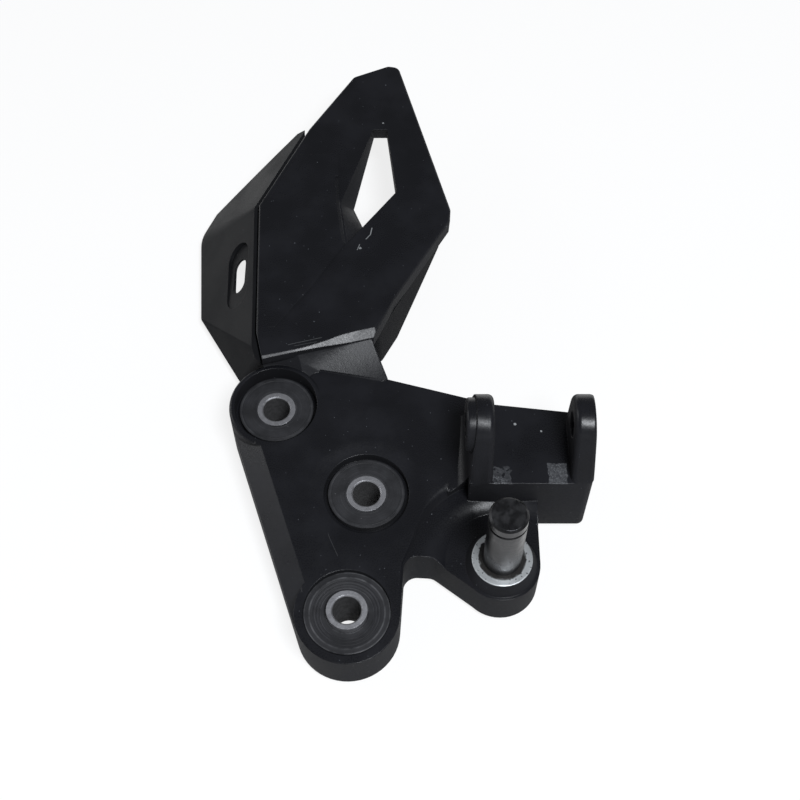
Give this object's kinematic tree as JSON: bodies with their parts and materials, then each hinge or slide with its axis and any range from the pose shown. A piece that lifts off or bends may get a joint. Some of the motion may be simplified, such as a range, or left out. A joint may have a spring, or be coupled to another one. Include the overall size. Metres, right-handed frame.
{
  "type": "motorcycle footrest hanger",
  "caption": "Cast footrest hanger with rubber-bushed frame mounts, a footrest clevis, a brake pedal pivot pin and a windowed heel guard with a moulded cover.",
  "frame": {"origin": "on the middle bush's bolt axis, in the plane where the steel sleeves meet the motorcycle's frame", "axes": "+Z outwards from the bike along the bush axes, +Y up on the bike, +X forward"},
  "size_m": [0.1351, 0.2364, 0.0505],
  "materials": {
    "black_paint": "satin black paint on die-cast aluminium",
    "bush_rubber": "dull black rubber",
    "zinc_steel": "dull grey zinc plating",
    "bare_steel": "worn bare steel",
    "black_plastic": "fine textured moulding",
    "screw_steel": "black oxide"
  },
  "bodies": {
    "root": {"hanger_casting": "black_paint", "bush_upper": "bush_rubber", "bush_middle": "bush_rubber", "bush_lower": "bush_rubber", "sleeve_upper": "zinc_steel", "sleeve_middle": "zinc_steel", "sleeve_lower": "zinc_steel", "pedal_pivot_stud": "bare_steel", "heel_guard_cover": "black_plastic", "cover_screws": "screw_steel"}
  },
  "joints": []
}
